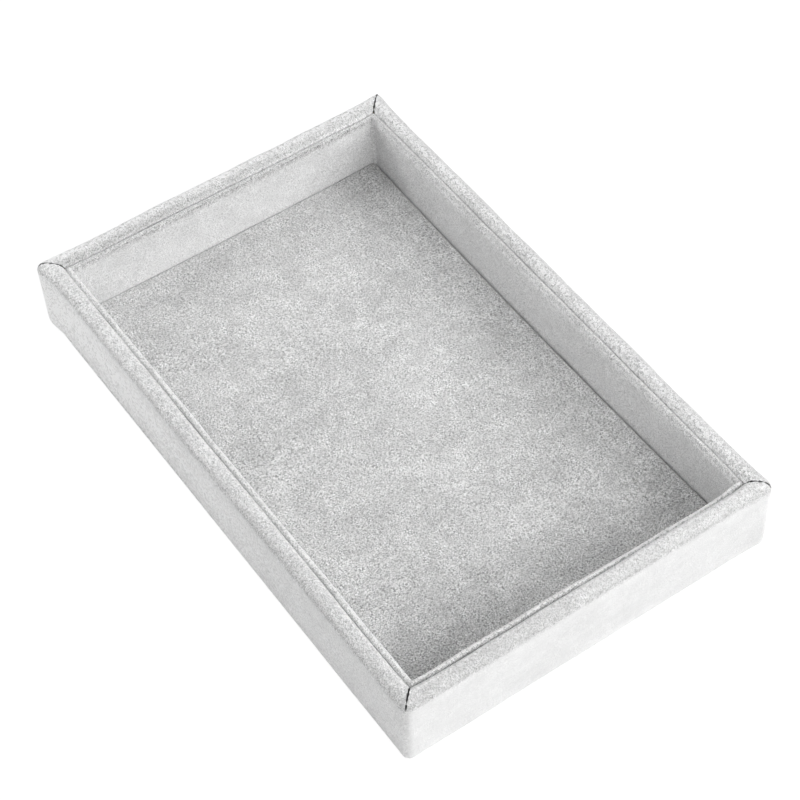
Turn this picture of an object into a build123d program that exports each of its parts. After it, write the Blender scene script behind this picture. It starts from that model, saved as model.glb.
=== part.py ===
from build123d import *
import os
from math import sqrt

# A shallow open tray for jewelry, covered all over in short-pile velvet.
# X runs along the long side, Y along the short side and Z up. The origin is the centre of
# the underside. All lengths are millimetres.

# Outside of the covered tray
tray_length = 280.0
tray_width = 180.0
tray_height = 40.0

# Velvet: its thickness with the pile, and where it is glued down and pressed flat
velvet = 0.9
pressed_hem = 0.4
corner_radius = 2.4
slit_width = 0.5
outer_hem = 9.5

# Wooden frame
rail_thickness = 6.0
base_thickness = 3.0

# Foam that crowns the rim: its full height, and the upright sides below the crown
rim_foam = 3.1
rim_foam_side = 0.5

# Sheet glued over the hems on the underside
lining = 0.6
lining_inset = 4.0
lining_corner = 5.0

# Liner strips that stand inside the walls and bow away from them at mid-length
liner_board = 0.9
liner_hem = 8.0
liner_drop = 0.3
liner_round = 1.05
long_bow = 1.2
short_bow = 0.5

# Padded floor
floor_board = 1.5
floor_foam = 1.2
floor_hem = 12.0
floor_clearance = 0.2
floor_corner = 3.0
floor_round = 1.3

# Flat-wire brads that hold the frame
brad_width = 1.25
brad_thickness = 1.0
brad_head_width = 2.0
brad_head = 0.6
brad_point = 2.0
corner_brad_length = 18.0
base_brad_length = 12.0
brad_pitch = 60.0
corner_brad_height_shares = (0.3, 0.75)

# How far a cutting shape runs past what it cuts
overrun = 1.0

# Levels from the underside up
hem_level = lining
board_level = hem_level + velvet
deck_level = board_level + base_thickness
rail_top = tray_height - velvet - rim_foam
floor_board_level = deck_level + pressed_hem
floor_foam_level = floor_board_level + floor_board
floor_cloth_level = floor_foam_level + floor_foam
floor_top = floor_cloth_level + velvet

# Distances in from the outside face of a wall
rail_middle = velvet + rail_thickness / 2
rail_inner = velvet + rail_thickness
wall_inner = rail_inner + velvet
liner_board_near = wall_inner + pressed_hem
liner_board_far = liner_board_near + liner_board
liner_inner = liner_board_far + velvet
floor_edge = liner_inner + floor_clearance
floor_board_edge = floor_edge + velvet

# The crown is an arc over the rail. The velvet follows it at an even thickness, so its arc
# has the same centre and starts at the rim's two shoulders. The liners stop just below them.
crown_rise = rim_foam - rim_foam_side
crown_radius = ((rail_thickness / 2) ** 2 + crown_rise ** 2) / (2 * crown_rise)
crown_centre_level = tray_height - velvet - crown_radius
shoulder_level = crown_centre_level + sqrt((crown_radius + velvet) ** 2 - rail_middle ** 2)
liner_top = shoulder_level - liner_drop

# Each wall has a length and a plane whose X runs along it, whose Y points into the tray and
# whose Z is up
half_length = tray_length / 2
half_width = tray_width / 2
up = (0, 0, 1)
walls = {
    "front": (Plane(origin=(0, -half_width, 0), x_dir=(1, 0, 0), z_dir=up), tray_length),
    "right": (Plane(origin=(half_length, 0, 0), x_dir=(0, 1, 0), z_dir=up), tray_width),
    "back": (Plane(origin=(0, half_width, 0), x_dir=(-1, 0, 0), z_dir=up), tray_length),
    "left": (Plane(origin=(-half_length, 0, 0), x_dir=(0, -1, 0), z_dir=up), tray_width),
}
long_walls = ("front", "back")


def save(builder, label):
    """Label a finished piece and write it as its own STEP file."""
    builder.part.label = label
    export_step(builder.part, f"parts/{label}.step")


def plate(inset, radius, bottom, top):
    """Flat plate with rounded corners, inset from the tray's outside on all four sides."""
    with BuildPart() as block:
        with BuildSketch(Plane.XY.offset(bottom)):
            RectangleRounded(tray_length - 2 * inset, tray_width - 2 * inset, radius)
        extrude(amount=top - bottom)
    return block.part


def mitred_wall(section, plane, length):
    """Run a section along one wall and cut both of its ends at 45 degrees.

    The section is drawn with X as the distance in from the wall's face and Y as the height.
    """
    depth = section.bounding_box().max.X
    half = length / 2
    start = plane.origin - plane.x_dir * half
    with BuildPart() as wall:
        with BuildSketch(Plane(origin=start, x_dir=plane.y_dir, z_dir=plane.x_dir)):
            add(section)
        extrude(amount=length)
        with BuildSketch(plane):
            with BuildLine():
                Polyline((-half, 0), (half, 0), (half - depth, depth), (depth - half, depth), close=True)
            make_face()
        extrude(amount=tray_height, mode=Mode.INTERSECT)
    return wall.part


def bowed_strip(plane, length, bow, near, far, bottom, top):
    """Upright strip along a wall, between two distances in from its face.

    Its ends are mitred and it bows into the tray at mid-length.
    """
    near_half = length / 2 - near
    far_half = length / 2 - far
    with BuildPart() as strip:
        with BuildSketch(plane.offset(bottom)):
            with BuildLine():
                ThreePointArc((-near_half, near), (0, near + bow), (near_half, near))
                Line((near_half, near), (far_half, far))
                ThreePointArc((far_half, far), (0, far + bow), (-far_half, far))
                Line((-far_half, far), (-near_half, near))
            make_face()
        extrude(amount=top - bottom)
    return strip.part


def floor_block(inset, radius, bottom, top):
    """Block in the outline of the floor pad: its sides are hollowed where the liners bow in."""
    x = half_length - inset
    y = half_width - inset
    with BuildPart() as block:
        with BuildSketch(Plane.XY.offset(bottom)) as outline:
            with BuildLine():
                ThreePointArc((-x, -y), (0, long_bow - y), (x, -y))
                ThreePointArc((x, -y), (x - short_bow, 0), (x, y))
                ThreePointArc((x, y), (0, y - long_bow), (-x, y))
                ThreePointArc((-x, y), (short_bow - x, 0), (-x, -y))
            make_face()
            fillet(outline.vertices(), radius)
        extrude(amount=top - bottom)
    return block.part


def brad(length):
    """Brad driven along +Z: a T head flush at the origin, a flat shank and a chisel point."""
    with BuildPart() as nail:
        with BuildSketch(Plane.XZ):
            with BuildLine():
                Polyline(
                    (0, 0),
                    (brad_head_width / 2, 0),
                    (brad_head_width / 2, brad_head),
                    (brad_width / 2, brad_head),
                    (brad_width / 2, length - brad_point),
                    (0, length),
                )
                mirror(about=Plane.YZ)
            make_face()
        extrude(amount=brad_thickness / 2, both=True)
    return nail.part


os.makedirs("parts", exist_ok=True)

# Brads through the long rails into the ends of the short ones, two at each corner
corner_brad = brad(corner_brad_length)
with BuildPart() as corner_brads:
    for side in (-1, 1):
        for end in (-1, 1):
            for share in corner_brad_height_shares:
                seat = (
                    end * (half_length - rail_middle),
                    side * (half_width - velvet),
                    deck_level + share * (rail_top - deck_level),
                )
                with Locations(Plane(origin=seat, x_dir=(1, 0, 0), z_dir=(0, -side, 0))):
                    add(corner_brad)
save(corner_brads, "corner_brads")

# Brads up through the base board into every rail, evenly spaced at about one pitch
base_brad = brad(base_brad_length)
with BuildPart() as base_brads:
    for plane, length in walls.values():
        inner_length = length - 2 * rail_inner
        brad_count = 1 + round(inner_length / brad_pitch)
        with Locations(plane.offset(board_level)):
            with Locations((0, rail_middle)):
                with GridLocations(inner_length / brad_count, 0, brad_count, 1):
                    add(base_brad)
save(base_brads, "base_brads")

# Base board under the whole frame
base_blank = plate(velvet, corner_radius - velvet, board_level, deck_level)
with BuildPart() as base_board:
    add(base_blank)
    add(base_brads.part, mode=Mode.SUBTRACT)
save(base_board, "base_board")

# Rails on edge on the base board: the short ones butt between the long ones
frame_blank = plate(velvet, corner_radius - velvet, deck_level - overrun, tray_height + overrun)
for name, (plane, length) in walls.items():
    end = velvet if name in long_walls else rail_inner
    with BuildPart() as rail:
        with BuildSketch(plane.offset(deck_level)):
            with Locations((0, rail_middle)):
                Rectangle(length - 2 * end, rail_thickness)
        extrude(amount=rail_top - deck_level)
        add(frame_blank, mode=Mode.INTERSECT)
        add(corner_brads.part, mode=Mode.SUBTRACT)
        add(base_brads.part, mode=Mode.SUBTRACT)
    save(rail, f"{name}_rail")

# D-section foam strips on top of the rails, mitred at the corners, with their outer tips cut
# off square to the mitre so that the velvet can turn round the corner
tip_cut = (corner_radius - velvet) * sqrt(2)
crown_foot = rail_top + rim_foam_side
with BuildSketch() as pad_section:
    with BuildLine():
        ThreePointArc((velvet, crown_foot), (rail_middle, rail_top + rim_foam), (rail_inner, crown_foot))
        Polyline((rail_inner, crown_foot), (rail_inner, rail_top), (velvet, rail_top), (velvet, crown_foot))
    make_face()
rim_pads = []
for name, (plane, length) in walls.items():
    pad_wall = mitred_wall(pad_section.sketch, plane, length)
    tip = length / 2 - velvet
    with BuildPart() as rim_pad:
        add(pad_wall)
        with BuildSketch(plane.offset(rail_top)):
            with Locations((-tip, velvet), (tip, velvet)):
                Rectangle(tip_cut, tip_cut, rotation=45)
        extrude(amount=rim_foam, mode=Mode.SUBTRACT)
    save(rim_pad, f"{name}_rim_pad")
    rim_pads.append(rim_pad.part)

# Outer cover: one wrap of velvet that turns under the base board, climbs the outside, rolls
# over the padded rim and runs down inside to the base board. It is drawn solid, and the
# frame that it wraps is then taken out of it.
with BuildSketch() as wrap_section:
    with BuildLine():
        Line((0, hem_level), (0, shoulder_level))
        ThreePointArc((0, shoulder_level), (rail_middle, tray_height), (wall_inner, shoulder_level))
        Polyline(
            (wall_inner, shoulder_level),
            (wall_inner, deck_level),
            (outer_hem, deck_level),
            (outer_hem, hem_level),
            (0, hem_level),
        )
    make_face()
wrap_walls = [mitred_wall(wrap_section.sketch, plane, length) for plane, length in walls.values()]
with BuildPart() as outer_cover:
    add(wrap_walls)
    fillet(outer_cover.edges().filter_by(Axis.Z).sort_by(SortBy.DISTANCE)[-len(walls):], corner_radius)
    fillet(outer_cover.faces().sort_by(Axis.Z)[0].outer_wire().edges(), velvet)
    add(base_blank, mode=Mode.SUBTRACT)
    with BuildSketch(Plane.XY.offset(deck_level)):
        RectangleRounded(tray_length - 2 * velvet, tray_width - 2 * velvet, corner_radius - velvet)
        Rectangle(tray_length - 2 * rail_inner, tray_width - 2 * rail_inner, mode=Mode.SUBTRACT)
    extrude(amount=rail_top - deck_level, mode=Mode.SUBTRACT)
    add(rim_pads, mode=Mode.SUBTRACT)
    # A mitre slit in each corner of the rim, which the velvet needs to fold down inside. The
    # cut goes on down through the inner flap, and stops at the rim's outer shoulder.
    wall_corner = wall_inner * sqrt(2)
    rail_corner = rail_inner * sqrt(2)
    for x_side in (-1, 1):
        for y_side in (-1, 1):
            tray_corner = (x_side * half_length, y_side * half_width, 0)
            mitre = Plane(origin=tray_corner, x_dir=(-x_side, -y_side, 0), z_dir=up)
            with BuildSketch(mitre.offset(shoulder_level)):
                with Locations((wall_corner / 2, 0)):
                    Rectangle(wall_corner + slit_width, slit_width)
            extrude(amount=tray_height - shoulder_level, mode=Mode.SUBTRACT)
            with BuildSketch(mitre.offset(deck_level)):
                with Locations(((rail_corner + wall_corner) / 2, 0)):
                    Rectangle(wall_corner - rail_corner + slit_width, slit_width)
            extrude(amount=tray_height - deck_level, mode=Mode.SUBTRACT)
save(outer_cover, "outer_cover")

# Lining glued on the underside: it lies over the hems and steps up onto the bare board
lining_border = plate(lining_inset, lining_corner, 0, lining)
lining_step = plate(outer_hem, lining, 0, board_level)
lining_recess = plate(outer_hem + lining, lining, 0, board_level - lining)
with BuildPart() as base_lining:
    add(lining_border)
    add(lining_step)
    add(lining_recess, mode=Mode.SUBTRACT)
save(base_lining, "base_lining")

# Liner strips: a thin board wrapped in velvet that folds over its top and down its back
for name, (plane, length) in walls.items():
    strip = (plane, length, long_bow if name in long_walls else short_bow)
    board_strip = bowed_strip(*strip, liner_board_near, liner_board_far, deck_level, liner_top - velvet)
    with BuildPart() as board:
        add(board_strip)
    save(board, f"{name}_liner_board")

    whole_strip = bowed_strip(*strip, wall_inner, liner_inner, deck_level, liner_top)
    below_hem = bowed_strip(*strip, wall_inner, liner_board_near, deck_level, liner_top - liner_hem)
    with BuildPart() as liner_cover:
        add(whole_strip)
        top_edges = liner_cover.faces().sort_by(Axis.Z)[-1].edges()
        fillet(top_edges.filter_by(GeomType.CIRCLE), liner_round)
        add(board_strip, mode=Mode.SUBTRACT)
        add(below_hem, mode=Mode.SUBTRACT)
    save(liner_cover, f"{name}_liner_cover")

# Floor pad: board and foam wrapped in velvet, with its hem turned under the board
board_corner = floor_corner - velvet
board_block = floor_block(floor_board_edge, board_corner, floor_board_level, floor_foam_level)
with BuildPart() as floor_board_piece:
    add(board_block)
save(floor_board_piece, "floor_board")

foam_block = floor_block(floor_board_edge, board_corner, floor_foam_level, floor_cloth_level)
with BuildPart() as floor_foam_piece:
    add(foam_block)
save(floor_foam_piece, "floor_foam")

pad_block = floor_block(floor_edge, floor_corner, deck_level, floor_top)
hem_window = floor_block(floor_board_edge + floor_hem, board_corner, deck_level, floor_board_level)
with BuildPart() as floor_cover:
    add(pad_block)
    fillet(floor_cover.faces().sort_by(Axis.Z)[-1].edges(), floor_round)
    add(floor_board_piece.part, mode=Mode.SUBTRACT)
    add(floor_foam_piece.part, mode=Mode.SUBTRACT)
    add(hem_window, mode=Mode.SUBTRACT)
save(floor_cover, "floor_cover")
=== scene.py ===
# %% [markdown]
# A jewelry tray covered in velvet
#
# The real object is a shallow tray: a nailed frame of thin board, wrapped in light grey
# short-pile velvet, with a foam-padded rim, four covered liner strips and a padded floor.
# The engineering model already holds every piece at its true size and place. This script
# loads that model as a fixed frame, and makes each cloth and foam piece again as the soft
# thing that it is. The boards and the brads keep their own shapes and only get a finish.

# %% Load the frame
import bmesh
import bpy
import numpy as np
from mathutils import Matrix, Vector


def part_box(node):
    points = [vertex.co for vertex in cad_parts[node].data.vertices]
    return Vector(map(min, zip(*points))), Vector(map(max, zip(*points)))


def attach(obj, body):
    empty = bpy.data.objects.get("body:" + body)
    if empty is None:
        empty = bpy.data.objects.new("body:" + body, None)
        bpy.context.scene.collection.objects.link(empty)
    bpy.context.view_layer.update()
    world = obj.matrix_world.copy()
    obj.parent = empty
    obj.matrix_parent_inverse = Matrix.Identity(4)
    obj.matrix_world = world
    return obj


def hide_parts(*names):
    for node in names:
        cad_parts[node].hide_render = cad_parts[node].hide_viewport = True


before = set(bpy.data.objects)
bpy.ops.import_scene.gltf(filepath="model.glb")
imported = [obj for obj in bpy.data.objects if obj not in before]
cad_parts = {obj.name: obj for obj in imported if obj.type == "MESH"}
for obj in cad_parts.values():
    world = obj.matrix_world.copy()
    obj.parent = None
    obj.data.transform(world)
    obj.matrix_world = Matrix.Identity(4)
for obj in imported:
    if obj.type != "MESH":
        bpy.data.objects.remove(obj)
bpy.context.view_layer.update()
print("nodes in the frame:", len(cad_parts))

# %% [markdown]
# Every size comes from the frame. The box of each node tells where its faces are, so the
# cloth that is made here lies on the same boards as the cloth in the engineering model.
# Two measures can't be read from a box: how thick a covered liner is, and how high the
# upright sides of the rim's foam are. They are named in millimetres.

# %% Sizes in metres
mm = 0.001
cover_low, cover_high = (np.array(corner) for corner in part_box("outer_cover"))
rail_low, rail_high = (np.array(corner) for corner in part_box("front_rail"))
lining_low, lining_high = (np.array(corner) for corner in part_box("base_lining"))
liner_high = np.array(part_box("front_liner_cover")[1])
floor_low, floor_high = (np.array(corner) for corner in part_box("floor_cover"))
foam_low, foam_high = (np.array(corner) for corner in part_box("floor_foam"))

half_length, half_width, rim_top = cover_high
hem_level = cover_low[2]
deck_level, rail_top = rail_low[2], rail_high[2]
velvet = rail_low[1] - cover_low[1]
rail_inner = rail_high[1] - cover_low[1]
rail_middle = (velvet + rail_inner) / 2
wall_inner = rail_inner + velvet
liner_top = liner_high[2]
liner_thickness = 2.2 * mm
foam_side = 0.5 * mm

crown_rise = rim_top - velvet - rail_top - foam_side
crown_radius = ((rail_inner - rail_middle) ** 2 + crown_rise**2) / (2 * crown_rise) + velvet
crown_centre = rim_top - crown_radius
shoulder_level = crown_centre + np.sqrt(crown_radius**2 - rail_middle**2)
levels = np.array([rim_top, shoulder_level, liner_top])
print("rim top, shoulder and liner top, mm:", np.round(levels / mm, 2))

# %% [markdown]
# Most pieces are grids: a table of points where each point is joined to its neighbours by
# square faces. Several grids can be put into one mesh, and where their edges lie on each
# other the doubled points are merged, which closes the seam between them.


# %% Grids of points become meshes
def grid_faces(rows, columns, wrap=False):
    """Four corner numbers for each square of a grid, row by row.

    With wrap, the last column is joined to the first one again.
    """
    index = np.arange(rows * columns).reshape(rows, columns)
    if wrap:
        index = np.concatenate([index, index[:, :1]], axis=1)
    corners = [index[:-1, :-1], index[:-1, 1:], index[1:, 1:], index[1:, :-1]]
    return np.stack(corners, axis=-1).reshape(-1, 4)


merge_distance = 2e-6


def make_piece(name, patches, materials, closed=False, **marks):
    """One mesh object made of several grids, with its doubled points merged.

    patches is a list of (points, wrap), where points has the shape (rows, columns, 3).
    Each mark is a number for every point, that a finish can read by the mark's name. The
    faces of a closed mesh are turned outwards. Open edges are sharp, so that the light
    breaks there and not on the cloth beside them.
    """
    points, faces, count = [], [], 0
    for grid, wrap in patches:
        points.append(grid.reshape(-1, 3))
        faces.append(grid_faces(*grid.shape[:2], wrap) + count)
        count += len(points[-1])
    mesh = bpy.data.meshes.new(name)
    mesh.from_pydata(np.concatenate(points).tolist(), [], np.concatenate(faces).tolist())
    for mark, grids in marks.items():
        values = np.concatenate([grid.ravel() for grid in grids]).astype(np.float32)
        mesh.attributes.new(mark, "FLOAT", "POINT").data.foreach_set("value", values)
    shaped = bmesh.new()
    shaped.from_mesh(mesh)
    bmesh.ops.remove_doubles(shaped, verts=shaped.verts, dist=merge_distance)
    bmesh.ops.dissolve_degenerate(shaped, edges=shaped.edges, dist=merge_distance / 4)
    if closed:
        bmesh.ops.recalc_face_normals(shaped, faces=shaped.faces)
    for edge in shaped.edges:
        edge.smooth = not edge.is_boundary
    shaped.to_mesh(mesh)
    shaped.free()
    mesh.polygons.foreach_set("use_smooth", np.ones(len(mesh.polygons), dtype=bool))
    for material in materials:
        mesh.materials.append(material)
    piece = bpy.data.objects.new(name, mesh)
    bpy.context.scene.collection.objects.link(piece)
    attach(piece, "root")
    print(name, "faces:", len(mesh.polygons))
    return piece


def cloth_thickness(piece, thickness):
    """Give a cloth its thickness behind the pile side, with the cut edge in the second finish."""
    solidify = piece.modifiers.new("cloth thickness", "SOLIDIFY")
    solidify.thickness = thickness
    solidify.offset = -1
    solidify.use_even_offset = True
    solidify.material_offset = 1
    solidify.material_offset_rim = 1


# %% [markdown]
# Hand-pulled cloth is never quite flat. A sum of a few long sine waves in random
# directions gives a smooth unevenness that is the same in every run, because the random
# numbers start from a fixed seed.

# %% Unevenness of hand-pulled cloth
# Single tufts that stand higher are about this far apart
tuft_pitch = 2.2 * mm


def unevenness(points, wavelength, seed, waves=7):
    """Sum of sine waves over space, scaled to a spread of about one.

    Each wave has its own direction, a length near the given one and its own phase.
    """
    draw = np.random.default_rng(seed)
    directions = draw.normal(size=(waves, 3))
    directions /= np.linalg.norm(directions, axis=1, keepdims=True)
    numbers = 2 * np.pi / (wavelength * draw.uniform(0.7, 1.5, waves))
    phases = draw.uniform(0, 2 * np.pi, waves)
    heights = np.sin(points @ (directions * numbers[:, None]).T + phases)
    return heights.sum(axis=-1) * np.sqrt(2 / waves)


def smooth_step(value, low, high):
    """0 below low, 1 above high, and between them three squares minus two cubes of the share."""
    share = np.clip((value - low) / (high - low), 0, 1)
    return share * share * (3 - 2 * share)


# %% [markdown]
# Each wall has its own directions: along it, and inwards from its outer face. A shape that
# is worked out once, as a distance along, a distance in and a height, can then be put on
# any of the four walls.

# %% The four walls
walls = {
    "front": ((0, -half_width), (1, 0), (0, 1), half_length),
    "right": ((half_length, 0), (0, 1), (-1, 0), half_width),
    "back": ((0, half_width), (-1, 0), (0, -1), half_length),
    "left": ((-half_length, 0), (0, -1), (1, 0), half_width),
}


def on_wall(name, along, inset, height):
    """Place points on a wall: base point plus run times along plus inward times inset."""
    base, run, inward, _ = walls[name]
    along, inset, height = np.broadcast_arrays(along, inset, height)
    x = base[0] + run[0] * along + inward[0] * inset
    y = base[1] + run[1] * along + inward[1] * inset
    return np.stack([x, y, height], axis=-1)


def ends_finer(count, end_share=0.12):
    """Even shares from -1 to 1 mixed with their sine, so that they are closer at both ends."""
    even = np.linspace(-1, 1, count)
    return even * (1 - end_share) + np.sin(even * np.pi / 2) * end_share


# %% [markdown]
# The finishes come next. Velvet is a knitted backing with a dense short pile. Its look has
# three sizes of detail. Broad clouds, a few centimetres wide, are patches where the pile
# was brushed one way or the other. Strokes and hollows of some millimetres lie in them. The
# grain, half a millimetre wide, is the pile standing in tufts. Upright faces show the pile
# from the side, combed down smooth, with only faint streaks. Colours are written as sRGB
# hex values, and one function turns them into the linear values that the shaders use.


# %% Colours and nodes
def hex_colour(text):
    """Linear red, green, blue and alpha from a hex sRGB colour such as #C8C8C8."""
    channels = np.array([int(text[i : i + 2], 16) for i in (1, 3, 5)]) / 255
    linear = np.where(channels <= 0.04045, channels / 12.92, ((channels + 0.055) / 1.055) ** 2.4)
    return (*linear.tolist(), 1.0)


def new_material(name):
    """Empty node material with a Principled surface. Returns the material and its shader."""
    material = bpy.data.materials.new(name)
    material.use_nodes = True
    return material, material.node_tree.nodes["Principled BSDF"]


def add_node(owner, kind, settings=None, **links):
    """Add one node to a material or the world, set it and link its inputs.

    A setting that names a socket sets that socket, and any other sets a property. A link
    joins an input, by its name or its number after an underscore, to a node's first output
    or to (node, output name).
    """
    tree = owner.node_tree
    node = tree.nodes.new(kind)
    for key, value in (settings or {}).items():
        if isinstance(key, int) or key in node.inputs:
            node.inputs[key].default_value = value
        else:
            setattr(node, key, value)
    for key, source in links.items():
        numbered = key.startswith("_")
        socket = node.inputs[int(key[1:]) if numbered else key.replace("_", " ")]
        output = source[0].outputs[source[1]] if isinstance(source, tuple) else source.outputs[0]
        tree.links.new(output, socket)
    return node


def link(owner, source, target, socket):
    """Join a node's first output to one socket of another node."""
    owner.node_tree.links.new(source.outputs[0], target.inputs[socket])


def set_sockets(node, values):
    """Give several sockets of a node their values."""
    for socket, value in values.items():
        node.inputs[socket].default_value = value


# %% [markdown]
# In Object coordinates a pattern stays on the piece and has real sizes. The mapping below
# turns metres into millimetres, so that a noise whose scale is one divided by 0.5 has
# cells 0.5 mm wide. Two marks are put on the cloth's points. The mark pile says how the
# pile lies there: 0 where it is combed flat, 1 where it stands open, and more than 1 where
# a fold spreads it. The mark shade is painted light and shade. Below 0 it is painted shade,
# in grooves, near walls and along the outside of a tight fold, where the pile also parts a
# little over its darker backing. Above 0 it is a painted highlight, on edges that turn away
# from the eye and on faces that the lamps light more. One unit of shade changes the colour
# by about a quarter. Hair particles could make such a pile, but it would take millions, so
# noises stand for it.

# %% Patterns in the pile
# Width of a tuft in millimetres. Real tufts are finer, and these are as coarse as they
# have to be to show
grain_cell = 0.5
# How many times longer than wide a stroke and a combed streak are, and the height of tufts
stroke_stretch = 2.6
streak_stretch = 32.0
tuft_relief = 0.15 * mm


def pile_patterns(material, tuft_stretch, seed):
    """All noises of a velvet by name, with its two marks.

    Each row gives the width of a noise's cells in millimetres, how many times longer they
    are along x, y and z, its detail and its distortion. The strokes of the brush run across
    the tray, and combed streaks run upright.
    """
    place = add_node(material, "ShaderNodeTexCoord")
    scale = {"Scale": (1 / mm, 1 / mm, 1 / mm), "Location": (seed, seed, seed)}
    in_mm = add_node(material, "ShaderNodeMapping", scale, Vector=(place, "Object"))
    rows = {
        "tip": (grain_cell * 0.7, (1, 1, 1), 0.0, 0.0),
        "tuft": (grain_cell, (1, tuft_stretch, 1), 0.0, 0.8),
        "streak": (grain_cell, (1, 1, streak_stretch), 2.0, 0.0),
        "speck": (1.3, (1, 1, 1), 3.0, 0.6),
        "blotch": (3.2, (1, 1, 1), 1.5, 0.0),
        "stroke": (4.0, (1, stroke_stretch, 1), 0.5, 0.5),
        "hollow": (9.0, (1, 1, 1), 1.0, 0.6),
        "cloud": (26.0, (1, 1, 1), 3.0, 0.8),
    }
    patterns = {}
    for pattern, (cell, longer, detail, warp) in rows.items():
        squeeze = {"Scale": tuple(1 / times for times in longer)}
        squeezed = add_node(material, "ShaderNodeMapping", squeeze, Vector=in_mm)
        settings = {"Scale": 1 / cell, "Detail": detail, "Roughness": 0.55, "Distortion": warp}
        patterns[pattern] = add_node(material, "ShaderNodeTexNoise", settings, Vector=squeezed)
    for mark in ("pile", "shade"):
        attribute = add_node(material, "ShaderNodeAttribute", {"attribute_name": mark})
        patterns[mark] = (attribute, "Fac")
    return patterns


# %% [markdown]
# The patterns now become one colour and one relief. Each row of the recipe below is a node
# and gives its result a name. A row is a sum or a product of two earlier results, or else
# it names one result and four numbers: its values between the first two are stretched to
# the range of the last two, and stay inside it.


# %% Velvet
def velvet_finish(name, pile_colour, cloud_depth, grain_depth, speck_depth, tuft_stretch, seed):
    """Short-pile ice velvet, knitted and brushed, in light grey polyester.

    The colour is the pile's colour, times one plus clouds, strokes, grain, streaks and
    shade, whose depths are shares of it. The shade is painted light and shade. The grain is a
    noise of tufts plus a finer one of their tips, and it lifts the surface too, so that the
    gaps between tufts are dark and deep. The sheen is the light that the tips of the pile
    scatter, strongest where it is seen from the side.
    """
    material, shader = new_material(name)
    nodes = pile_patterns(material, tuft_stretch, seed)
    stroke_depth, hollow_depth = cloud_depth * 0.5, cloud_depth * 0.4
    recipe = {
        "clouds": ("cloud", 0.3, 0.7, -cloud_depth, cloud_depth),
        "strokes": ("stroke", 0.3, 0.7, -stroke_depth, stroke_depth),
        "hollows": ("hollow", 0.35, 0.65, -hollow_depth, hollow_depth),
        "patches": ("ADD", "strokes", "hollows"),
        # Gaps between tufts are a little deeper than the tufts are high
        "tufts": ("tuft", 0.27, 0.65, -1.4, 1.3),
        "tips": ("tip", 0.3, 0.7, -0.6, 0.6),
        "grain": ("ADD", "tufts", "tips"),
        # The edge of the open pile is ragged, because single tufts fall either way
        "raggedness": ("blotch", 0.25, 0.75, -0.2, 0.2),
        "ragged_pile": ("ADD", "pile", "raggedness"),
        "open_pile": ("ragged_pile", 0.0, 1.8, 0.0, 1.8),
        # Where the pile was pressed darker it also lies smoother
        "evenness": ("hollow", 0.35, 0.65, 0.85, 1.15),
        "deep_grain": ("grain", -2.0, 2.0, -2 * grain_depth, 2 * grain_depth),
        "even_grain": ("MULTIPLY", "deep_grain", "evenness"),
        "level_grain": ("MULTIPLY", "even_grain", "open_pile"),
        "streaks": ("streak", 0.3, 0.7, -0.03, 0.03),
        "blotches": ("blotch", 0.3, 0.7, -0.025, 0.025),
        "mottling": ("ADD", "streaks", "blotches"),
        # Painted light and shade, broken up by specks: this range makes the factor 1 + 0.26 times
        # shade
        "specks": ("speck", 0.38, 0.62, 1 - speck_depth, 1 + speck_depth),
        "speckled_shade": ("MULTIPLY", "shade", "specks"),
        "shading": ("speckled_shade", -4.0, 8.0, -0.04, 3.08),
        "broad_tones": ("ADD", "clouds", "patches"),
        "fine_tones": ("ADD", "level_grain", "mottling"),
        "tones": ("ADD", "broad_tones", "fine_tones"),
        "factor": ("ADD", "tones", "shading"),
        "height": ("MULTIPLY", "grain", "open_pile"),
    }
    for result, (first, *rest) in recipe.items():
        if first in ("ADD", "MULTIPLY"):
            kind, settings = "ShaderNodeMath", {"operation": first}
            sources = {"_0": nodes[rest[0]], "_1": nodes[rest[1]]}
        else:
            kind, sources = "ShaderNodeMapRange", {"Value": nodes[first]}
            settings = dict(zip(("From Min", "From Max", "To Min", "To Max"), rest))
        nodes[result] = add_node(material, kind, settings, **sources)
    tinted = {"operation": "SCALE", 0: hex_colour(pile_colour)[:3]}
    colour = add_node(material, "ShaderNodeVectorMath", tinted, Scale=nodes["factor"])
    relief = {"Strength": 0.6, "Distance": tuft_relief}
    bump = add_node(material, "ShaderNodeBump", relief, Height=nodes["height"])
    link(material, colour, shader, "Base Color")
    link(material, bump, shader, "Normal")
    set_sockets(shader, {
        "Roughness": 0.95,
        "Specular IOR Level": 0.1,
        "Sheen Weight": 1.0,
        "Sheen Roughness": 0.8,
        "Sheen Tint": hex_colour("#FFFFFF"),
    })
    return material


wall_velvet = velvet_finish("ice_velvet_on_walls", "#C1C1C1", 0.085, 0.41, 0.95, 1.0, 3.0)
floor_velvet = velvet_finish("ice_velvet_on_floor", "#C2C2C2", 0.15, 0.52, 0.3, 1.4, 11.0)
print("velvet finishes:", wall_velvet.name, floor_velvet.name)

# %% [markdown]
# Where velvet is cut, its edge shows the knitted backing: a dull darker grey, with ends of
# yarn that stand out of it. The inside finishes are plain ones: fibreboard with its pressed
# fibres, recycled greyboard with flecks, open-cell foam, felted lining and drawn wire.


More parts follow.
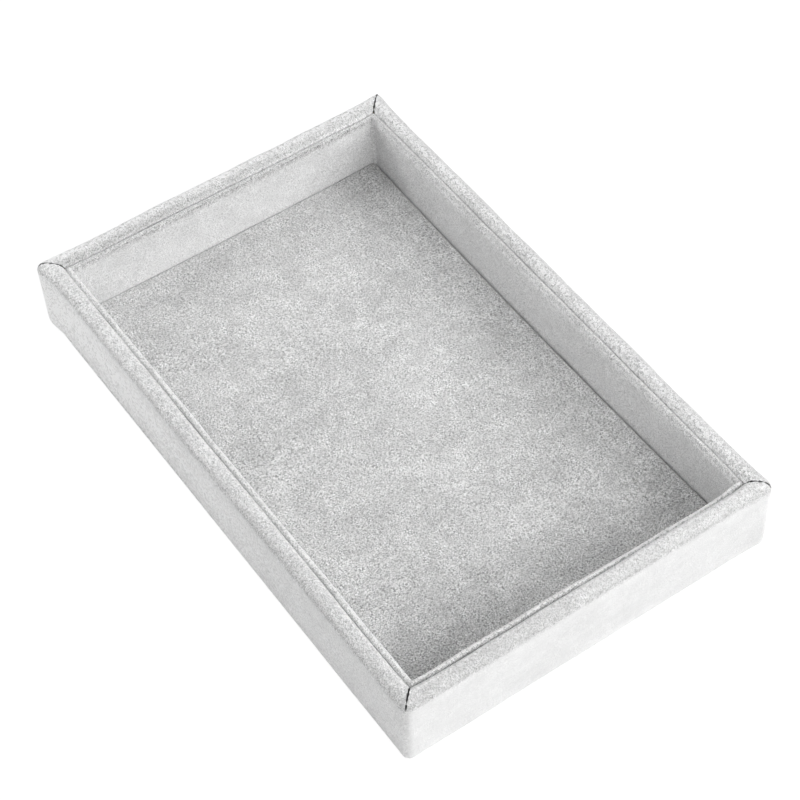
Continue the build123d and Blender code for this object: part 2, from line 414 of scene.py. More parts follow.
# %% Cut cloth, boards, foam, lining and wire
def grained_finish(name, colour, dark, size, stretch, depth, roughness, seed):
    """Rough material whose colour wanders between two tones over stretched noise.

    size is the width of a fibre, cell or fleck and depth its relief, in millimetres, and
    stretch says how many times longer than wide it is.
    """
    material, shader = new_material(name)
    place = add_node(material, "ShaderNodeTexCoord")
    scale = {"Scale": (1 / mm / stretch, 1 / mm, 1 / mm), "Location": (seed, 0, 0)}
    in_mm = add_node(material, "ShaderNodeMapping", scale, Vector=(place, "Object"))
    fibres = {"Scale": 1 / size, "Detail": 5.0, "Roughness": 0.65}
    noise = add_node(material, "ShaderNodeTexNoise", fibres, Vector=in_mm)
    tones = add_node(material, "ShaderNodeValToRGB", Fac=noise)
    for stop, position, tone in zip(tones.color_ramp.elements, (0.3, 0.7), (dark, colour)):
        stop.position = position
        stop.color = hex_colour(tone)
    relief = {"Strength": 0.6, "Distance": depth * mm}
    bump = add_node(material, "ShaderNodeBump", relief, Height=noise)
    link(material, tones, shader, "Base Color")
    link(material, bump, shader, "Normal")
    shader.inputs["Roughness"].default_value = roughness
    return material


cut_edge = grained_finish("cut_knit_backing", "#8E8E8E", "#4E4E4E", 0.5, 1, 0.2, 0.95, 1)
lining_felt = grained_finish("felted_lining", "#B9B9B9", "#A2A2A2", 0.7, 2, 0.1, 0.95, 2)
fibreboard = grained_finish(
    "medium_density_fibreboard", "#B08A5E", "#8C6A44", 0.6, 4, 0.08, 0.85, 3
)
greyboard = grained_finish("recycled_greyboard", "#9C9A95", "#7F7D78", 0.9, 3, 0.05, 0.9, 4)
soft_foam = grained_finish("open_cell_foam", "#5C5C5C", "#3E3E3E", 0.45, 1, 0.25, 0.95, 5)
drawn_wire = grained_finish("drawn_steel_wire", "#C9C9C9", "#A6A6A6", 0.12, 12, 0.02, 0.35, 6)
set_sockets(drawn_wire.node_tree.nodes["Principled BSDF"], {"Metallic": 1.0})

carried_over = {
    "base_board": fibreboard,
    "floor_board": greyboard,
    "corner_brads": drawn_wire,
    "base_brads": drawn_wire,
}
for wall in walls:
    carried_over[f"{wall}_rail"] = fibreboard
    carried_over[f"{wall}_liner_board"] = greyboard
for node, material in carried_over.items():
    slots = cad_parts[node].data.materials
    slots.clear()
    slots.append(material)
print("nodes that keep their shape:", len(carried_over))

# %% [markdown]
# The outer cover is a long strip of velvet. It starts under the base board, turns up round
# the bottom edge, climbs the outside, rolls over the foam crown and runs down inside. It is
# stretched and glued over boards, so a cloth simulation would have little left to do, and
# its section, a chain of straight lines and arcs, is carried along each wall instead.

# %% Section of the outer cover
outer_hem = 9.5 * mm


def cover_section():
    """Inset and height of the pile side, from the edge of the hem to the edge of the flap.

    The crown is an arc over the rail: inset is its middle minus radius times the cosine,
    and height is its centre plus radius times the sine.
    """
    turn = np.linspace(0, np.pi / 2, 5)
    start = np.arcsin((shoulder_level - crown_centre) / crown_radius)
    sweep = np.linspace(start, np.pi - start, 21)
    hem = np.linspace(outer_hem, velvet, 4)[:-1]
    near_rim = shoulder_level - 5 * mm
    face = np.concatenate([
        np.linspace(hem_level + velvet, near_rim, 12)[1:-1],
        np.linspace(near_rim, shoulder_level, 7)[:-1],
    ])
    flap = np.linspace(shoulder_level, deck_level, 7)[1:]
    inset = np.concatenate([
        hem,
        velvet - velvet * np.sin(turn),
        0 * face,
        rail_middle - crown_radius * np.cos(sweep),
        0 * flap + wall_inner,
    ])
    height = np.concatenate([
        0 * hem + hem_level,
        hem_level + velvet - velvet * np.cos(turn),
        face,
        crown_centre + crown_radius * np.sin(sweep),
        flap,
    ])
    return inset, height


# %% [markdown]
# At the corners the outside of the strip simply goes round, but the part that folds over
# the rim has to be cut at 45 degrees, so a raw slit runs over the crown of each corner. Each
# wall is one grid from mitre to mitre. Below the shoulder the ends of two grids lie on each
# other and merge, and above it they stand a slit's width apart.
#
# No corner of the real tray is quite like another. A puff is how far a corner's top is
# pulled out along the length and the width, a tip how far a raw end stands up, and a tuck
# how far a bottom corner is pulled in. The rim leans too: the two numbers of each wall, in
# millimetres, are for the outer and the inner side of its crown.

# %% Corners and lean found in the photograph
corner_radius = 3.4 * mm
slit_width = 0.85 * mm
slit_reach = 1.2 * mm
fray_pitch = 1.7 * mm
lip_height = 0.15 * mm
# Puff along the length and the width, tip and tuck of each corner, in millimetres
corner_shapes = {
    "front_left": (-0.8, -2.5, 0.3, 1.4),
    "front_right": (0.15, -0.15, 0.1, 0.3),
    "back_right": (0.75, 0.95, 0.4, 0.3),
    "back_left": (-1.1, 0.9, 0.9, 0.3),
}
puff_reach = 10 * mm
tuck_reach = 8 * mm
tuck_height = 5 * mm
front_lean = 0.8 * mm
mitre_calm = 6 * mm
rim_lean = {"front": (-0.2, -0.3), "right": (-0.5, -0.6), "back": (0.0, -0.4), "left": (0.0, 0.45)}
wall_ends = {
    "front": ("front_left", "front_right"),
    "right": ("front_right", "back_right"),
    "back": ("back_right", "back_left"),
    "left": ("back_left", "front_left"),
}


def bell(distance, width):
    """1 at no distance, dying away along a bell curve: e to the minus its square."""
    return np.exp(-((distance / width) ** 2))


def rim_shift(name, inset, height, from_mitre):
    """How far the soft rim of a wall leans inwards, from its outer to its inner side.

    The shift changes evenly across the crown and dies out near mitres. Its inner part
    starts at the top of the rail, and its outer part 7 mm below it.
    """
    outer, inner = rim_lean[name]
    across = np.clip(inset / wall_inner, 0, 1)
    calm = 1 - bell(from_mitre, mitre_calm)
    inner_part = inner * across * smooth_step(height, rail_top - 0.4 * mm, rail_top + 0.7 * mm)
    outer_part = outer * (1 - across) * smooth_step(height, rail_top - 7 * mm, rail_top + mm)
    return (inner_part + outer_part) * mm * calm


# %% One wall of the outer cover
def round_the_corner(share, half, inset):
    """Distance along a wall and inset of a line that follows it out to the 45 degree line.

    The line is straight and then turns on an arc round the corner's centre, whose radius
    is the corner radius minus the inset. Further in than that it is straight to the mitre.
    """
    arc_radius = np.maximum(corner_radius - inset, 0)
    straight = half - np.maximum(corner_radius, inset)
    distance = np.abs(share) * (straight + arc_radius * np.pi / 4)
    turned = np.clip(distance - straight, 0, None) / np.maximum(arc_radius, 1e-9)
    along = np.sign(share) * (np.minimum(distance, straight) + arc_radius * np.sin(turned))
    return along, inset + arc_radius * (1 - np.cos(turned))


def cover_wall(name, columns):
    """Grid of one wall of the outer cover, from mitre to mitre, in rows along the section.

    A puffed corner moves both of its walls by one vector, times a bell curve over the
    distance from the mitre, so that they still meet there.
    """
    half = walls[name][3]
    section_inset, section_height = (line[:, None] for line in cover_section())
    share = ends_finer(columns)[None, :]
    along, inset = round_the_corner(share, half, section_inset)
    height = section_height + 0 * share
    from_mitre = np.clip(half - np.abs(along) - inset, 0, None)
    over_rim = smooth_step(height, shoulder_level - 0.2 * mm, shoulder_level + 0.6 * mm)
    inside = (section_inset > rail_middle) & (section_height > hem_level + velvet)
    cut = np.maximum(over_rim, np.where(inside, 1.0, 0.0))

    # The cut edges stand apart unevenly, with a raised lip and a raw tip at the outer end
    edge = on_wall(name, along, inset, height)
    frayed = np.clip(1 + 0.5 * unevenness(edge, fray_pitch, seed=21), 0.25, 1.8)
    along = along - np.sign(share) * cut * frayed * slit_width / 2 * bell(from_mitre, slit_reach)
    start, end = (corner_shapes[corner] for corner in wall_ends[name])
    puff_x, puff_y, tip, tuck_in = (
        np.where(share < 0, *pair) * mm for pair in zip(start, end)
    )
    outer_end = bell(section_inset, 1.2 * mm) * bell(from_mitre, 0.7 * mm)
    height = height + over_rim * (lip_height * bell(from_mitre, 0.8 * mm) + tip * outer_end)

    # Hand-pulled cloth over soft foam, and single tufts that stand higher
    points = on_wall(name, along, inset, height)
    calm = 1 - bell(from_mitre, 5 * mm)
    above_hem = height > hem_level + velvet / 2
    waves = 0.10 * unevenness(points, 22 * mm, seed=5)
    tufts = 0.05 * unevenness(points, tuft_pitch, seed=7, waves=24)
    lift = (waves + tufts) * mm * over_rim * calm
    sway = 0.08 * mm * unevenness(points, 40 * mm, seed=6) * calm * above_hem
    sway = sway + rim_shift(name, section_inset, height, from_mitre)
    points = on_wall(name, along, inset + sway, height + lift)
    outer_share = np.clip(1 - section_inset / wall_inner, 0, 1)
    reach = outer_share * above_hem * bell(from_mitre, puff_reach)
    points[..., 0] += puff_x * reach
    points[..., 1] += puff_y * reach

    # The foot of the front wall leans in towards its left end, and corners are tucked under
    low = np.clip(1 - height / rim_top, 0, 1) * above_hem
    near = bell(from_mitre, tuck_reach)
    if name == "front":
        points[..., 1] += front_lean * low * smooth_step(-share, -0.6, 0.6)
    if name == "left":
        points[..., 1] += front_lean * low * (share > 0) * near
    under = np.clip(1 - (height - hem_level) / tuck_height, 0, 1)
    off_hem = np.clip(1 - section_inset / outer_hem, 0, 1)
    tuck = tuck_in * (1 - np.sqrt(1 - under**2)) * near * off_hem
    return points - tuck[..., None] * np.sign(points) * (1, 1, 0)


# %% [markdown]
# The pile is combed down on the upright faces and opens at the shoulder. Over the crown and
# down the face the shade paints light and shade in lines that run along the wall: painted
# highlights where the cloth turns away from the eye, over the groove and on the lamp side
# of the front face, and painted shade at the shoulder, where the pile also parts a little
# darker. They could be painted by hand, but formulas over one distance are exact and easy
# to change.

# %% Pile and shade of the outer cover
face_pile = {"front": 0.75, "right": 0.3, "back": 0.5, "left": 0.5}
crown_pile = {"front": 0.95, "right": 0.7, "back": 0.9, "left": 0.85}
# From where to where the pile opens, and the spread of a fold, in mm from the shoulder
pile_opens = (-2.8, 0.2)
fold_pile = 0.7
fold_width = 1.6
# Painted light and shade of each wall, as bells: painted highlight above 0, painted shade below 0,
# which at the shoulder is partly the pile's own darker tone. Each bell is an amount, its growth
# along the wall, its middle and its width in mm
cover_shade = {
    "front": [
        (-1.5, -0.3, 0.7, 1.3),
        (0.5, 0, 4.5, 2.0),
        (1.5, 0, 8.5, 1.4),
        (2.1, 0, 10.8, 1.2),
        (1.9, -0.6, -18, 22),
    ],
    "right": [
        (-1.1, 0, 0.3, 1.6),
        (0.5, 1.0, 4.5, 2.5),
        (1.9, 0, 7.3, 1.3),
        (1.2, 1.2, 10.4, 1.2),
    ],
    "back": [
        (-0.4, 0, -0.8, 1.2),
        (1.9, 0, 6.9, 2.4),
        (1.9, -0.2, 10.5, 1.3),
    ],
    "left": [
        (2.5, 0, 4.1, 3.0),
        (-0.6, 0.8, 8.8, 1.4),
        (1.2, -0.9, 10.9, 1.2),
    ],
}


def cover_marks(name, columns):
    """Pile and shade of one wall of the cover, as grids.

    Both follow the distance along the cloth from the outer shoulder. The pile opens at the
    shoulder, and the front wall's fold spreads it further. The shade is painted light and
    shade, a sum of bell curves: an amount, how much it grows along the wall, the place of its
    middle and its width in millimetres.
    """
    inset, height = cover_section()
    run = np.concatenate([[0], np.hypot(np.diff(inset), np.diff(height)).cumsum()])
    shoulder = np.argmax(height >= shoulder_level - 0.001 * mm)
    from_shoulder = (run - run[shoulder]) / mm
    share = ends_finer(columns)
    shade = sum(
        np.outer(amount * bell(from_shoulder - middle, width), 1 + growth * share)
        for amount, growth, middle, width in cover_shade[name]
    )
    opening = smooth_step(from_shoulder, *pile_opens)
    pile = face_pile[name] + (crown_pile[name] - face_pile[name]) * opening
    pile = pile + fold_pile * bell(from_shoulder, fold_width) * (name == "front")
    return np.tile(pile[:, None], columns), shade


# %% Outer cover
# Columns of points along each wall, as many as keep the piece under 200,000 triangles
wall_columns = {"front": 290, "right": 194, "back": 290, "left": 194}
pile_grids, shade_grids = zip(*(cover_marks(name, wall_columns[name]) for name in walls))
outer_cover = make_piece(
    "outer_cover_velvet",
    [(cover_wall(name, wall_columns[name]), False) for name in walls],
    [wall_velvet, cut_edge],
    pile=pile_grids, shade=shade_grids,
)
cloth_thickness(outer_cover, velvet)
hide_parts("outer_cover")

# %% [markdown]
# Each liner is a strip of greyboard wrapped in velvet that stands against the wall. The
# velvet covers its face, turns over the top in a soft round and comes a little way down
# the back. The strips are pushed in place, so they bow away from the wall at mid-length
# at the foot, while the rim holds them at the top. They are made as the outer cover is,
# with a section of their own.

# %% Shape of the liners
liner_hem = 8.0 * mm
liner_crest = liner_top + 1.3 * mm
top_width = 2.8 * mm
foot_bow = {"front": 1.6 * mm, "right": 0.7 * mm, "back": 1.4 * mm, "left": 0.7 * mm}
foot_out = {"front": 0.0, "right": 0.0, "back": 0.0, "left": 0.5 * mm}
corner_fill = 1.1 * mm
liner_gap = 0.05 * mm
right_sink = 1.8 * mm
ring = list(walls)
neighbours = {name: (ring[i - 1], ring[(i + 1) % 4]) for i, name in enumerate(ring)}


def liner_section():
    """Inset and height of the pile side, from the foot of the face over the top to the hem.

    The top is a bead: a quarter of an ellipse on the face side, and another at the back.
    """
    front_round, front_drop, back_round, back_drop = 1.4 * mm, 2.0 * mm, 1.4 * mm, 1.5 * mm
    near = wall_inner + liner_gap
    far = near + top_width
    turn = np.linspace(0, np.pi / 2, 10)
    back_turn = np.linspace(np.pi / 2, np.pi, 8)[1:]
    face = np.linspace(deck_level, liner_crest - front_drop, 16)[:-1]
    back = np.linspace(liner_crest - back_drop, liner_crest - liner_hem, 6)[1:]
    inset = np.concatenate([
        0 * face + far,
        far - front_round + front_round * np.cos(turn),
        near + back_round + back_round * np.cos(back_turn),
        0 * back + near,
    ])
    height = np.concatenate([
        face,
        liner_crest - front_drop + front_drop * np.sin(turn),
        liner_crest - back_drop + back_drop * np.sin(back_turn),
        back,
    ])
    return inset, height


def bow_shape(share):
    """1 at mid-length and 0 at both ends, along a parabola."""
    return 1 - share**2


def liner_wall(name, columns):
    """Grid of one liner's velvet: straight along the wall, mitred at both ends and bowed.

    Down its face each liner comes a little away from the wall, and its ends follow how far
    its neighbours do, so that the mitres meet. Near a mitre the face is filled out by the
    square of the nearness, times a small amount, so that the cloth turns the inner corner
    in a soft hollow. The right liner was pushed down further towards the back.
    """
    half = walls[name][3]
    section_inset, section_height = (line[:, None] for line in liner_section())
    share = ends_finer(columns)[None, :]
    up = (section_height - deck_level) / (liner_crest - deck_level)
    board_face = wall_inner + liner_thickness
    down = (1 - up) * (section_inset > board_face)
    straight_inset = section_inset + (board_face - section_inset.max()) * down
    foot_inset = straight_inset + foot_out[name] * down
    before, after = (foot_out[neighbour] for neighbour in neighbours[name])
    neighbour_inset = straight_inset + np.where(share < 0, before, after) * down
    along = share * (half - neighbour_inset)
    from_mitre = half - np.abs(along) - neighbour_inset
    nearness = np.clip(1 - from_mitre / (2 * corner_fill), 0, 1)
    fill = corner_fill * nearness**2 * (1 - smooth_step(up, 0.8, 0.97))
    along = along - np.sign(share) * fill
    inset = foot_inset + fill + foot_bow[name] * (1 - up) * bow_shape(share)
    points = on_wall(name, along, inset, section_height)
    calm = 1 - share**8
    sway = 0.07 * mm * unevenness(points, 30 * mm, seed=8) * calm
    fine = 0.04 * mm * unevenness(points, tuft_pitch, seed=18, waves=24)
    fine = fine * smooth_step(up, 0.9, 1.0)
    lift = (0.09 * mm * unevenness(points, 26 * mm, seed=9) * up + fine) * calm
    from_mitre = half - np.abs(along) - inset
    lean = rim_shift(name, wall_inner, section_height, from_mitre)
    if name == "right":
        sunk = smooth_step(share, -0.2, 0.5) * (1 - bell(from_mitre, mitre_calm))
        lift = lift - right_sink * up * sunk
    return on_wall(name, along, inset + sway + lean, section_height + lift)


# %% Liner covers
liner_inset, liner_height = liner_section()
liner_run = np.concatenate([[0], np.hypot(np.diff(liner_inset), np.diff(liner_height)).cumsum()])
liner_width = liner_run[-1]
fold = liner_run[np.argmax(liner_height > liner_crest - 1.0 * mm)]
# Marks of the pile, then painted light and shade at each liner's top: a painted highlight
# on the bead above 0, painted shade below 0. A fold's mark is its amount, its place above
# the fold and its width in mm
liner_pile = {"front": 0.5, "right": 0.5, "back": 0.9, "left": 0.7}
fold_painted_light = {
    "front": (3.4, 0.0, 1.6),
    "right": (5.0, 0.0, 1.6),
    "back": (1.3, -1.7, 1.2),
    "left": (-2.2, -0.8, 1.0),
}
# Painted light over the whole of the back and left liners
liner_painted_light = {"front": 0.0, "right": 0.0, "back": 0.35, "left": 0.2}
liner_columns = 240
for name in walls:
    amount, place, width = fold_painted_light[name]
    at_fold = bell(liner_run - fold - place * mm, width * mm)
    opening = smooth_step(liner_run, fold - 3.0 * mm, fold)
    pile_line = liner_pile[name] + (1 - liner_pile[name]) * opening + 0.5 * fold_pile * at_fold
    # Painted light and shade down the section of the liner
    shade_line = liner_painted_light[name] + amount * at_fold
    liner = make_piece(
        f"{name}_liner_velvet",
        [(liner_wall(name, liner_columns)[::-1], False)],
        [wall_velvet, cut_edge],
        pile=[np.tile(pile_line[::-1, None], liner_columns)],
        shade=[np.tile(shade_line[::-1, None], liner_columns)],
    )
    cloth_thickness(liner, velvet * 0.8)
    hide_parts(f"{name}_liner_cover")
    liner_length = 2 * (walls[name][3] - wall_inner)
    strip = np.round(np.array([liner_width, liner_length]) / mm, 1)
    print("strip of the", name, "liner, mm:", strip)

# %% [markdown]
# The floor pad is a board with a thin foam, wrapped like a parcel. Its outline is a
# rectangle with rounded corners, hollowed where the liners bow in. A square grid covers the
# top. Near a corner the grid is squeezed by a formula that turns a square into a quarter
# disc, so its edge follows the rounding. Rings at the edge of that grid then go over the
# rounded edge, down the side and under the board.

# %% Pad outline
floor_corner = 3.0 * mm
floor_half = (floor_high - floor_low)[:2] / 2 - np.array([0.1 * mm, 0])
floor_shift = np.array([0.2 * mm, 0, 0])


def pad_plan(u, v, inset, corner, half, bow):
    """Plan of a pad's grid point. u and v run from -1 to 1 between its sides.

    A point is placed on a plain rectangle first. In the corner square, a and b from 0 to 1
    become a times the root of 1 - b squared / 2, and the other way round, which maps the
    square to a quarter disc. Then the sides are pulled in by the bow at mid-length.
    """
    flat = [u * (half[0] - inset), v * (half[1] - inset)]
    radius = max(corner - inset, 0.2 * mm)
    past = [
        np.clip(np.abs(flat[i]) - (half[i] - inset - radius), 0, None) / radius for i in (0, 1)
    ]
    a = past[0] * np.sqrt(1 - past[1] ** 2 / 2)
    b = past[1] * np.sqrt(1 - past[0] ** 2 / 2)
    x = flat[0] + np.sign(u) * radius * (a - past[0])
    y = flat[1] + np.sign(v) * radius * (b - past[1])
    x = x - u * bow[0] * bow_shape(v)
    y = y - v * bow[1] * bow_shape(u)
    return x, y


def edge_walk(columns, rows):
    """u and v once around the edge of the square grid, against the clock."""
    u, v = finer_corners(columns), finer_corners(rows)
    walk_u = np.concatenate([u[:-1], 0 * v[:-1] + 1, u[:0:-1], 0 * v[:-1] - 1])
    walk_v = np.concatenate([0 * u[:-1] - 1, v[:-1], 0 * u[:-1] + 1, v[:0:-1]])
    return walk_u, walk_v


def finer_corners(count):
    """Shares from -1 to 1, with extra ones close to both ends for the rounded corners."""
    corner_shares = 1 - np.array([0, 0.004, 0.008, 0.012, 0.017, 0.022])
    middle = np.linspace(-0.97, 0.97, count)
    return np.concatenate([-corner_shares, middle, corner_shares[::-1]])


def pad_patches(columns, rows, section, corner, half, bow, closed=False):
    """Grids of a pad: its top, and the rings of its section from the top's edge outwards.

    section is a list of (inset, height). A closed pad also has an underside.
    """
    u, v = np.meshgrid(finer_corners(columns), finer_corners(rows))
    walk = edge_walk(columns, rows)

    def level(plan_u, plan_v, inset, height):
        """Points of the plan at one height."""
        x, y = pad_plan(plan_u, plan_v, inset, corner, half, bow)
        return np.stack([x, y, 0 * x + height], axis=-1)

    top = level(u, v, *section[0])
    rings = np.stack([level(*walk, *step) for step in section])
    patches = [(top, False), (rings[::-1], True)]
    if closed:
        patches.append((level(u, v, *section[-1])[::-1], False))
    return patches


# %% [markdown]
# The floor cover lies a little uneven on its foam, swells at the back and is pressed flat
# against the left liner. Its shade is painted shade along the walls, where they shadow the
# floor, with a little painted light close to the left wall and further out from the right
# wall, so it is worked out from the distance to each wall.

# %% Shape and shade of the floor cover
floor_bow = (foot_bow["left"], foot_bow["front"])
floor_top = floor_high[2]
edge_round = 1.8 * mm
floor_hem = 12.0 * mm
floor_drop = floor_top - deck_level
# Painted shade near a wall, dark above 0, and painted light below 0: the wall, the amount
# and how many mm it dies away over
edge_shade = [
    ("right", 1.8, 4.5),
    ("right", -0.45, 30.0),
    ("back", 1.4, 7.0),
    ("left", 0.8, 7.0),
    ("left", -1.5, 1.2),
    ("front", 0.4, 12.0),
]
# The band of painted shadow along the right wall: its depth, how wide it is and how soon it
# fades, in mm
right_painted_shadow = 0.9
band_edges = (18, 31)
band_length = 120
press = 0.5 * mm
back_swell = 0.6 * mm
turn = np.linspace(0, np.pi / 2, 6)
floor_section = [(8 * mm, floor_top), (4 * mm, floor_top - 0.02 * mm)]
floor_section += [
    (edge_round * (1 - np.sin(angle)), floor_top - edge_round * (1 - np.cos(angle)))
    for angle in turn
]
floor_section += [(0, deck_level + 0.6 * mm), (0.4 * mm, deck_level), (floor_hem, deck_level)]
floor_patches = pad_patches(130, 80, floor_section, floor_corner, floor_half, floor_bow)


def soften(points):
    """Foam under the floor cloth gives it a shallow unevenness, still at the pad's edge.

    The pad is pressed against the left liner, which flattens its rounded edge there.
    """
    calm = np.prod(1 - (points[..., :2] / floor_half) ** 8, axis=-1).clip(0, 1)
    lifted = points.copy()
    on_top = np.clip((points[..., 2] - deck_level) / floor_drop, 0, 1)
    lifted[..., 2] += 0.10 * mm * unevenness(points, 45 * mm, seed=12) * calm * (on_top > 0.9)
    lifted[..., 2] += back_swell * np.exp(-(floor_half[1] - points[..., 1]) / (10 * mm)) * on_top
    pressed = press * smooth_step(-points[..., 0], floor_half[0] - 20 * mm, floor_half[0])
    bow = floor_bow[0] * bow_shape(np.clip(points[..., 1] / floor_half[1], -1, 1))
    lifted[..., 0] = np.maximum(points[..., 0] - pressed, bow - floor_half[0])
    return lifted + floor_shift


def floor_shade(points):
    """Painted shade: minus a share that dies away from each wall, where the walls shadow the
    floor. Rows with an amount below 0 paint light instead.

    Along the right wall a band of painted shadow is deepest at the front.
    """
    x, y = points[..., 0], points[..., 1]
    gaps = {
        "right": floor_half[0] - x,
        "back": floor_half[1] - y,
        "left": floor_half[0] + x,
        "front": floor_half[1] + y,
    }
    band = right_painted_shadow * (1 - smooth_step(gaps["right"], *(edge * mm for edge in band_edges)))
    band = band * np.exp(-gaps["front"] / (band_length * mm))
    edges = sum(
        amount * np.exp(-gaps[name] / (width * mm)) for name, amount, width in edge_shade
    )
    return -band - edges


# %% Floor cover
floor_cover = make_piece(
    "floor_cover_velvet",
    [(soften(points), wrap) for points, wrap in floor_patches],
    [floor_velvet, cut_edge],
    pile=[1 + 0 * points[..., 0] for points, _ in floor_patches],
    shade=[floor_shade(points) for points, _ in floor_patches],
)
cloth_thickness(floor_cover, velvet * 0.4)
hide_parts("floor_cover")

# %% [markdown]
# Two kinds of foam give the tray its soft feel: a sheet under the floor cloth, and a strip
# with a crowned top on each rail. They hardly show, but they are pieces of their own, so
# they are made as closed pads with rounded edges.

# %% Floor foam
foam_half = (foam_high - foam_low)[:2] / 2
foam_round = 0.4 * mm
foam_bottom, foam_top = foam_low[2], foam_high[2]
foam_section = [
    (2 * mm, foam_top),
    (foam_round, foam_top),
    (foam_round * 0.3, foam_top - foam_round * 0.3),
    (0, foam_top - foam_round),
    (0, foam_bottom),
    (2 * mm, foam_bottom),
]
foam_corner = floor_corner - velvet
foam_patches = pad_patches(60, 40, foam_section, foam_corner, foam_half, floor_bow, closed=True)
floor_foam = make_piece("floor_foam_pad", foam_patches, [soft_foam], closed=True)
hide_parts("floor_foam")


# %% Rim foams
def rim_foam_wall(name, columns):
    """Closed grid of one rim foam: a D section carried from mitre to mitre.

    The section is a flat foot, two short upright sides and an arc between them. Each end is
    closed by a last column of points on the middle of its own section.
    """
    half = walls[name][3]
    radius = crown_radius - velvet
    start = np.arcsin((rail_top + foam_side - crown_centre) / radius)
    sweep = np.linspace(start, np.pi - start, 15)
    foot = np.linspace(rail_inner, velvet, 7)
    inset = np.concatenate([rail_middle - radius * np.cos(sweep), foot])
    height = np.concatenate([crown_centre + radius * np.sin(sweep), 0 * foot + rail_top])
    share = np.linspace(-1, 1, columns)
    tip = half - velvet - 0.8 * mm
    along = share[:, None] * np.minimum(half - inset, tip)[None, :]
    grid = on_wall(name, along, inset[None, :], height[None, :])
    above_sides = grid[..., 2] > rail_top + foam_side
    grid[..., 2] += 0.08 * mm * unevenness(grid, 25 * mm, seed=15) * above_sides
    lean = rim_shift(name, inset, height, half - np.abs(along) - inset)
    grid[..., :2] += np.array(walls[name][2]) * lean[..., None]
    ends = [np.broadcast_to(grid[i].mean(axis=0), grid[i].shape)[None] for i in (0, -1)]
    return np.concatenate([ends[0], grid, ends[1]])


for name in walls:
    foam_grid = rim_foam_wall(name, 60)
    rim_foam = make_piece(f"{name}_rim_foam", [(foam_grid, True)], [soft_foam], closed=True)
    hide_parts(f"{name}_rim_pad")

# %% [markdown]
# A thin felted sheet is glued on the underside. It hides the turned hems, and since the
# hems are thicker than nothing, the sheet steps up onto the bare board inside them.

# %% Base lining
lining_half = (lining_high - lining_low)[:2] / 2
lining = hem_level - lining_low[2]
lining_corner = 5.0 * mm
hem_edge = outer_hem - (half_length - lining_half[0])
board_low, board_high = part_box("base_board")
recess = deck_level - (board_high[2] - board_low[2]) - lining
lining_section = [
    (hem_edge + 8 * mm, recess),
    (hem_edge + 1.6 * mm, recess),
    (hem_edge + 1.0 * mm, recess - 0.08 * mm),
    (hem_edge, 0.10 * mm),
    (hem_edge - 0.7 * mm, 0.01 * mm),
    (hem_edge - 2 * mm, 0),
    (0.3 * mm, 0),
    (0, 0.1 * mm),
]
lining_patches = pad_patches(90, 60, lining_section, lining_corner, lining_half, (0, 0))
base_lining = make_piece(
    "base_lining_felt",
    [(points[::-1], wrap) for points, wrap in lining_patches],
    [lining_felt, lining_felt],
)
cloth_thickness(base_lining, lining * 0.8)
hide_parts("base_lining")
print("cut of the base lining, mm:", np.round(2 * lining_half / mm, 1))

# %% [markdown]
# The tray stands on a plain white floor. The floor is white for the camera and keeps the
# tray's shadow: for camera rays its material adds plain light to a share of its lit colour.

# %% Stage
stage_size = 6.0
stage_grid = np.array([[[-1, -1, 0], [1, -1, 0]], [[-1, 1, 0], [1, 1, 0]]]) * stage_size
stage_floor = make_piece("stage_floor", [(stage_grid, False)], [])
stage_paper, stage_shader = new_material("white_paper_floor")
matt_paper = {"Base Color": hex_colour("#F2F2F2"), "Roughness": 1.0, "Specular IOR Level": 0.0}
set_sockets(stage_shader, matt_paper)
light_path = add_node(stage_paper, "ShaderNodeLightPath")
seen = add_node(
    stage_paper, "ShaderNodeMath", {"operation": "MAXIMUM"},
    _0=(light_path, "Is Camera Ray"), _1=(light_path, "Is Glossy Ray"),
)
white_light = {"Color": (1, 1, 1, 1), "Strength": 1.12}
plain_white = add_node(stage_paper, "ShaderNodeEmission", white_light)
share_seen = {"operation": "MULTIPLY", 1: 0.8}
white_share = add_node(stage_paper, "ShaderNodeMath", share_seen, _0=seen)
blend = add_node(
    stage_paper, "ShaderNodeMixShader", _0=white_share, _1=stage_shader, _2=plain_white
)
link(stage_paper, blend, stage_paper.node_tree.nodes["Material Output"], "Surface")
stage_floor.data.materials.append(stage_paper)

# %% [markdown]
# Soft studio light from six large lamps. Those on the right and at the back right give
# most of it, so the right side is the brightest and the floor along the right wall lies in
# soft shade. Weaker ones at the back, high on the left, overhead and low at the front left
# keep the other walls light grey. The white surround only fills the deepest shade.


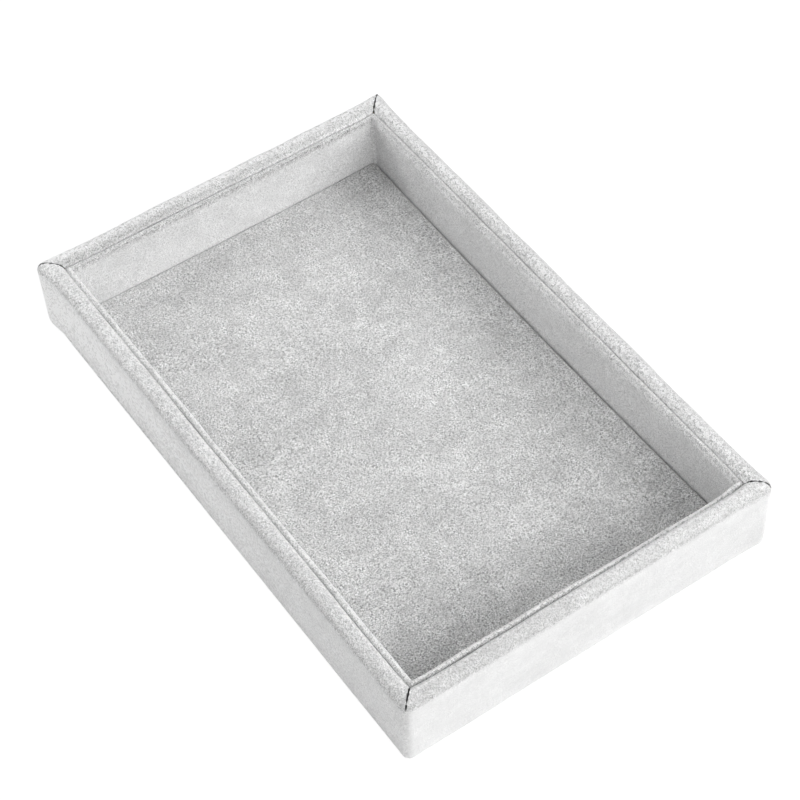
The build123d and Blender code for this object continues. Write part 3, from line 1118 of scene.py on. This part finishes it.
# %% Light
def soft_lamp(name, place, size, power):
    """Square area lamp that faces the middle of the tray."""
    data = bpy.data.lights.new(name, "AREA")
    data.size = size
    data.energy = power
    lamp = bpy.data.objects.new(name, data)
    bpy.context.scene.collection.objects.link(lamp)
    away = np.array(place) / np.linalg.norm(place)
    side = np.cross((0, 0, 1), away)
    side = side / np.linalg.norm(side)
    facing = np.column_stack([side, np.cross(away, side), away])
    lamp.matrix_world = Matrix.Translation(place) @ Matrix(facing.tolist()).to_4x4()
    return lamp


soft_lamp("right_lamp", (1.6, -0.1, 0.75), 1.2, 18.4)
soft_lamp("back_right_lamp", (1.3, 1.2, 1.2), 1.2, 21.0)
soft_lamp("back_lamp", (0.2, 1.6, 1.2), 1.2, 9.3)
soft_lamp("high_left_lamp", (-1.3, -0.4, 1.6), 1.2, 13.4)
soft_lamp("overhead_lamp", (0.1, 0.0, 2.2), 1.6, 4.2)
soft_lamp("near_front_left_lamp", (-0.75, -0.85, 0.3), 0.6, 5.7)
world = bpy.data.worlds.new("white_surround")
bpy.context.scene.world = world
world.use_nodes = True
sky = world.node_tree.nodes["Background"]
set_sockets(sky, {"Color": (1, 1, 1, 1), "Strength": 0.02})
sky_path = add_node(world, "ShaderNodeLightPath")
sky_white = add_node(world, "ShaderNodeBackground", {"Color": (1, 1, 1, 1)})
sky_mix = add_node(
    world, "ShaderNodeMixShader", _0=(sky_path, "Is Camera Ray"), _1=sky, _2=sky_white
)
link(world, sky_mix, world.node_tree.nodes["World Output"], "Surface")
bpy.context.scene.view_settings.view_transform = "Standard"

# %% [markdown]
# The camera looks down on the tray from the front right with a long lens. Its place, its
# directions and its lens were worked out from the tray's corners in the photograph.

# %% Camera
camera_place = (0.52552, -0.33804, 0.79420)
camera_right = np.array([0.57097, 0.82061, -0.02443])
camera_down = np.array([0.63089, -0.45762, -0.62655])
camera_forward = np.array([-0.52533, 0.34233, -0.77900])
camera_data = bpy.data.cameras.new("camera")
camera_data.sensor_width = 36.0
camera_data.lens = 105.094
camera = bpy.data.objects.new("camera", camera_data)
bpy.context.scene.collection.objects.link(camera)
axes = np.column_stack([camera_right, -camera_down, -camera_forward])
camera.matrix_world = Matrix.Translation(camera_place) @ Matrix(axes.tolist()).to_4x4()
bpy.context.scene.camera = camera
